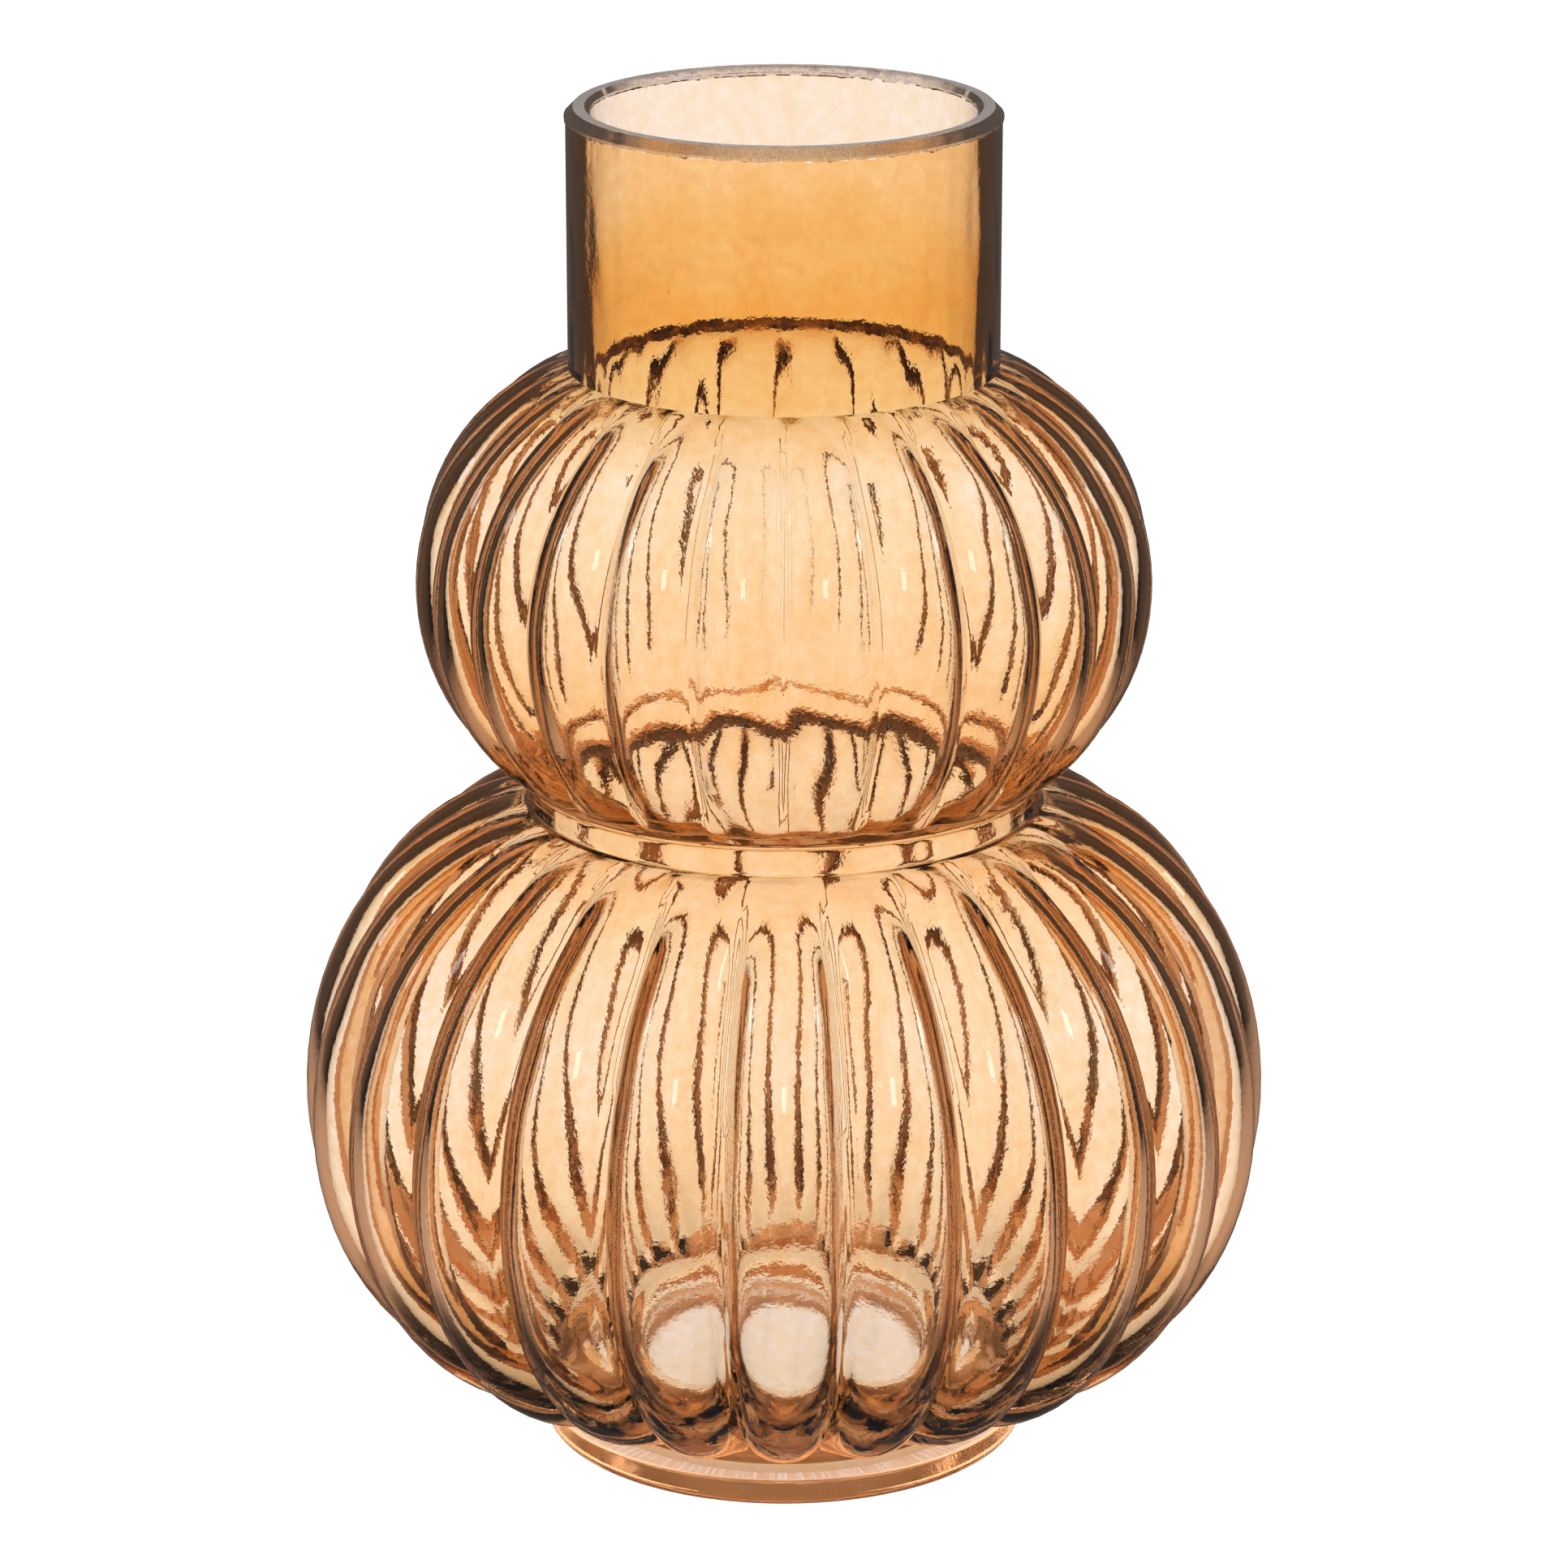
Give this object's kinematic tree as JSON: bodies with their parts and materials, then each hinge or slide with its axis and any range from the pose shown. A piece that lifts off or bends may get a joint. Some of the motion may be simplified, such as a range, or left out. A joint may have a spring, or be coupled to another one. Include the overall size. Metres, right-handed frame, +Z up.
{
  "type": "gourd vase",
  "caption": "Gourd-shaped amber glass vase for flowers: a small lobed bulb above a larger lobed bulb, with a plain neck, a ground rim and a low round foot.",
  "frame": {"origin": "on the vase's axis, in the plane of the standing ring under the foot", "axes": "+Z up along the vase's axis through the mouth; -Y is the side seen in the picture, with a groove of the upper bulb and a lobe of the lower bulb straight ahead"},
  "size_m": [0.1774, 0.1774, 0.25],
  "materials": {
    "amber_glass": "gloss",
    "ground_glass": "satin"
  },
  "bodies": {
    "root": {"foot": "amber_glass", "lower_bulb": "amber_glass", "waist_collar": "amber_glass", "upper_bulb": "amber_glass", "neck": "amber_glass", "ground_rim": "ground_glass"}
  },
  "joints": []
}
